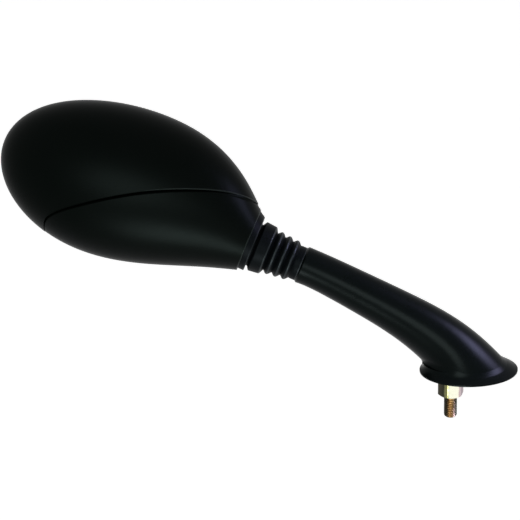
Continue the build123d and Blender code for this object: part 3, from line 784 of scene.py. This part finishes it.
def dressHead():
    work, surface = mergedCopy("head_shell")
    downSeam = neckDir * headEdges["seamSlope"] - neckUp

    def alongNeck(vert):
        return (vert.co - collar).dot(neckDir)

    def onMouth(edge):
        offAxis = [(vert.co - collar - neckDir * alongNeck(vert)).length for vert in edge.verts]
        level = max(abs(alongNeck(vert) - headEdges["mouthPlace"]) for vert in edge.verts)
        return level < headEdges["mouthLevel"] and min(offAxis) > headEdges["mouthRadius"]

    def onPanel(edge):
        ahead, wall = cornerNormals(edge)
        if max(alongNeck(vert) for vert in edge.verts) > headEdges["panelLimit"]:
            return False
        if wall.dot(downSeam) < headEdges["leastFall"] or ahead.dot(faceFront) < headEdges["steepest"]:
            return False
        middle = (edge.verts[0].co + edge.verts[1].co) / 2
        return surface.ray_cast(middle + (ahead + wall) * headEdges["lookFrom"], faceFront)[0] is None

    panelChain = longestChain(sharpEdges(work, onPanel))
    mouthChain = longestChain(sharpEdges(work, onMouth))
    print("edges found", len(panelChain), len(mouthChain))
    if alongNeck(panelChain[0][0]) > alongNeck(panelChain[-1][0]):
        panelChain = [(edge.other_vert(vert), edge) for vert, edge in reversed(panelChain)]
    edgeBead("panelBead", panelChain, False, headEdges["panelStart"], headEdges["panelEnd"])
    edgeBead("mouthBead", mouthChain, True, 1.0, 1.0)
    seamLiner(panelChain, surface)
    work.free()


dressHead()
print("head dressed")

# Arm: a hollow rounding where it runs into the skirt of its foot

foot = {
    "sharpFrom": 16.0, "lowest": 0.0168, "armReach": 0.0055, "skirtReach": 0.0026, "steps": 8,
    "spacing": 0.0012, "sink": 0.00003, "depth": 0.0004, "smoothing": 4, "crease": 50.0,
}


def footSection(work, surface, place, along, normals):
    # one row of points, from the arm over the hollow to the skirt, with a hidden point behind
    steep, flat = sorted(normals, key=lambda normal: normal.z)
    ends = []
    for own, other, reach in ((steep, flat, foot["armReach"]), (flat, steep, foot["skirtReach"])):
        away = along.cross(own).normalized()
        away *= 1.0 if away.dot(other) > 0 else -1.0
        spot, normal = surface.find_nearest(place + away * reach)[:2]
        ends.append(spot - normal * foot["sink"])
    row = []
    for i in range(foot["steps"] + 1):
        t = i / foot["steps"]
        row.append(work.verts.new(ends[0] * (1 - t) ** 2 + place * 2 * t * (1 - t) + ends[1] * t ** 2))
    row.append(work.verts.new(place - (steep + flat).normalized() * foot["depth"]))
    return row


def smoothRows(rows, passes):
    for _ in range(passes):
        before = [[vert.co.copy() for vert in row] for row in rows]
        for k, row in enumerate(rows):
            after = before[(k + 1) % len(rows)]
            for i, vert in enumerate(row):
                vert.co = (before[k - 1][i] + before[k][i] * 2 + after[i]) / 4


def blendFoot():
    cover, surface = mergedCopy("arm_cover")
    limit = -radians(foot["sharpFrom"])
    creases = []
    for edge in cover.edges:
        if len(edge.link_faces) == 2 and edge.calc_face_angle_signed() < limit:
            if min(vert.co.z for vert in edge.verts) > foot["lowest"]:
                creases.append(edge)
    chain = longestChain(creases)  # a closed loop round the foot
    print("foot crease", len(chain))
    work = bmesh.new()
    rows = []
    gone, due = 0.0, 0.0
    for vert, edge in chain:
        if gone >= due:
            ahead = (edge.other_vert(vert).co - vert.co).normalized()
            normals = [face.normal for face in edge.link_faces]
            rows.append(footSection(work, surface, vert.co, ahead, normals))
            due += foot["spacing"]
        gone += edge.calc_length()
    smoothRows(rows, foot["smoothing"])
    joinRings(work, rows + rows[:1])
    closedPiece("footHollow", work, armBlack, "arm", foot["crease"])
    cover.free()


blendFoot()
print("foot blended")

# Stage, lights and camera

photoView = {
    "lean": 24.0, "roll": 1.75, "aim": (-0.11246, 0.02838, 0.07934),
    "frameWidth": 0.312, "lens": 135.0, "sensor": 36.0,
}


def placeCamera(view):
    lean, roll = radians(view["lean"]), radians(view["roll"])
    across, upward = Vector((1, 0, 0)), Vector((0, sin(lean), cos(lean)))
    right = across * cos(roll) - upward * sin(roll)
    up = across * sin(roll) + upward * cos(roll)
    back = right.cross(up)
    data = bpy.data.cameras.new("photoCamera")
    data.lens = view["lens"]
    data.sensor_width = view["sensor"]
    distance = view["frameWidth"] * view["lens"] / view["sensor"]
    camera = addPiece("photoCamera", data)
    turn = Matrix((right, up, back)).transposed().to_4x4()
    camera.matrix_world = Matrix.Translation(Vector(view["aim"]) + back * distance) @ turn
    bpy.context.scene.camera = camera


stage = {
    "floorLevel": -0.62, "floorReach": 8.0, "floorColour": 0.8, "floorRoughness": 0.9,
    "glow": 0.77, "worldLight": 0.25,
}


def seenDirectly(tree):
    path = wire(tree, "ShaderNodeLightPath", {})
    seen = calc(tree, "MAXIMUM", path["Is Camera Ray"], path["Is Glossy Ray"])
    return calc(tree, "MAXIMUM", seen, path["Is Transmission Ray"])


def buildFloor():
    mesh = bpy.data.meshes.new("studioFloor")
    reach, level = stage["floorReach"], stage["floorLevel"]
    corners = [(-reach, -reach, level), (reach, -reach, level), (reach, reach, level), (-reach, reach, level)]
    mesh.from_pydata(corners, [], [(0, 1, 2, 3)])
    floor = addPiece("studioFloor", mesh)
    material = bpy.data.materials.new("paleFloor")
    material.use_nodes = True
    tree = material.node_tree
    shader = tree.nodes["Principled BSDF"]
    shader.inputs["Base Color"].default_value = (stage["floorColour"],) * 3 + (1.0,)
    shader.inputs["Roughness"].default_value = stage["floorRoughness"]
    shader.inputs["Emission Color"].default_value = white
    glow = calc(tree, "MULTIPLY", seenDirectly(tree), stage["glow"])
    tree.links.new(glow, shader.inputs["Emission Strength"])
    mesh.materials.append(material)


def lightWorld():
    # white where it is seen, dimmer as a light
    world = bpy.data.worlds.new("paleStudio")
    bpy.context.scene.world = world
    world.use_nodes = True
    tree = world.node_tree
    background = tree.nodes["Background"]
    background.inputs["Color"].default_value = white
    strength = spread(tree, seenDirectly(tree), stage["worldLight"], 1.0)
    tree.links.new(strength, background.inputs["Strength"])


lamps = [
    {"name": "frontLow", "aim": (-0.19, 0.03, 0.11), "azimuth": 2.0, "elevation": -27.0, "distance": 0.85,
     "size": 0.34, "power": 5.2, "spread": 180.0, "colour": (1.0, 1.0, 1.0)},
    {"name": "frontHigh", "aim": (-0.19, 0.03, 0.11), "azimuth": -4.0, "elevation": 22.0, "distance": 1.25,
     "size": 0.62, "power": 6.6, "spread": 180.0, "colour": (1.0, 1.0, 1.0)},
    {"name": "rightCool", "aim": (0.015, -0.005, 0.035), "azimuth": 87.0, "elevation": 40.0, "distance": 0.3,
     "size": 0.25, "power": 0.31, "spread": 42.0, "colour": (0.68, 0.58, 1.0)},
]


def hangLamp(lamp):
    data = bpy.data.lights.new(lamp["name"], "AREA")
    data.shape = "DISK"
    data.size = lamp["size"]
    data.energy = lamp["power"]
    data.color = lamp["colour"]
    data.spread = radians(lamp["spread"])
    light = addPiece(lamp["name"], data)
    turn, rise = radians(lamp["azimuth"]), radians(lamp["elevation"])
    outward = Vector((sin(turn) * cos(rise), -cos(turn) * cos(rise), sin(rise)))
    light.location = Vector(lamp["aim"]) + outward * lamp["distance"]
    light.rotation_euler = (-outward).to_track_quat("-Z", "Y").to_euler()
    light.visible_camera = False


placeCamera(photoView)
buildFloor()
lightWorld()
for lamp in lamps:
    hangLamp(lamp)
bpy.context.scene.view_settings.view_transform = "Standard"
print("stage ready")
